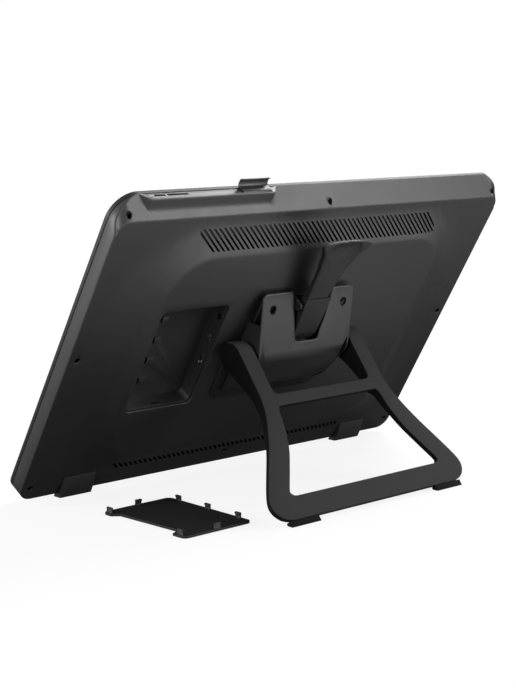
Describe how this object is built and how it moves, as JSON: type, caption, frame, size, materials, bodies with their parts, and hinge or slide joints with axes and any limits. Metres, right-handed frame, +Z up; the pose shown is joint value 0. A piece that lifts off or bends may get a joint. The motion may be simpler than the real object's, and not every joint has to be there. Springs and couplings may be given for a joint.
{
  "type": "graphics tablet with screen",
  "caption": "Pen display on a folding A-frame stand: leaning screen, raised vented back, open port bay with its loose cover, release lever and top buttons.",
  "frame": {"origin": "on the desk, under the middle of the overall box", "axes": "+X towards the side with the port bay, +Y towards the stand, +Z up; the screen faces -Y and up"},
  "size_m": [0.52, 0.2534, 0.3157],
  "materials": {
    "shell": "fine spark texture, dark grey",
    "frame": "fine satin black",
    "cover_glass": "etched anti-glare, black printed border",
    "panel": "dark polariser",
    "diffuser": "clear acrylic",
    "sheet_metal": "zinc plated",
    "board": "green solder mask",
    "brass": "turned",
    "steel": "bright zinc",
    "dark_screw": "black oxide",
    "chip": "moulded",
    "heatsink": "black anodised",
    "port_shell": "nickel",
    "jack": "moulded",
    "ribbon": "flat flex film",
    "button": "satin",
    "light_pipe": "clear rod",
    "rubber": "soft",
    "cover": "fine spark texture",
    "hood": "fine spark texture",
    "bracket": "black powder coat",
    "drum": "ground",
    "stand": "fine black powder coat",
    "lever": "fine spark texture",
    "shoe": "friction lining"
  },
  "bodies": {
    "display": {"rear_cover": "shell", "front_frame": "frame", "cover_glass": "cover_glass", "lcd_panel": "panel", "light_guide": "diffuser", "backlight_tray": "sheet_metal", "digitizer_board": "board", "shield_plate": "sheet_metal", "main_board": "board", "board_standoffs": "brass", "board_screws": "steel", "scaler_chip": "chip", "heatsink": "heatsink", "port_tub": "shell", "hdmi_port": "port_shell", "usb_port": "port_shell", "dc_jack": "jack", "panel_ribbon": "ribbon", "button_board": "board", "tact_switches": "steel", "rocker_pin": "steel", "status_led": "light_pipe", "case_screws": "dark_screw", "body_feet": "rubber", "pen_clip_pin": "steel", "hinge_base": "bracket", "base_screws": "steel", "hinge_bushes": "brass", "torsion_springs": "steel", "hinge_hood": "hood", "hood_screws": "dark_screw", "lever_pin": "steel", "lever_spring": "steel"},
    "stand": {"stand_frame": "stand", "stand_feet": "rubber", "hinge_shaft": "steel", "shaft_washers": "steel", "lock_drum": "drum"},
    "lever": {"release_lever": "lever", "lock_shoe": "shoe"},
    "power_button": {"power_button": "button"},
    "menu_rocker": {"menu_rocker": "button"},
    "pen_clip": {"pen_clip": "cover"},
    "port_cover": {"port_cover": "cover"}
  },
  "joints": [
    {"name": "stand_fold", "type": "hinge", "parent": "display", "child": "stand", "pos_m": [0, 0.00319, 0.13887], "axis": [1, 0, 0], "range_deg": [-66, 8]},
    {"name": "lever_release", "type": "hinge", "parent": "display", "child": "lever", "pos_m": [0, 0.02705, 0.1861], "axis": [1, 0, 0], "range_deg": [0, 4], "stiffness_Nm_per_rad": 2, "springref_deg": -4.58},
    {"name": "power_press", "type": "slide", "parent": "display", "child": "power_button", "axis": [0, -0.509, -0.8607], "range_m": [0, 0.0006], "stiffness_N_per_m": 1200, "springref_m": -0.0004},
    {"name": "menu_rock", "type": "hinge", "parent": "display", "child": "menu_rocker", "pos_m": [0.193, 0.05213, 0.30081], "axis": [0, 0.8607, -0.509], "range_deg": [-2.5, 2.5], "stiffness_Nm_per_rad": 0.12},
    {"name": "pen_clip_fold", "type": "hinge", "parent": "display", "child": "pen_clip", "pos_m": [0.099, 0.05481, 0.30259], "axis": [-1, 0, 0], "range_deg": [0, 75]},
    {"name": "cover_lift", "type": "slide", "parent": "display", "child": "port_cover", "axis": [0, 0, 1], "range_m": [0, 0.08]}
  ]
}
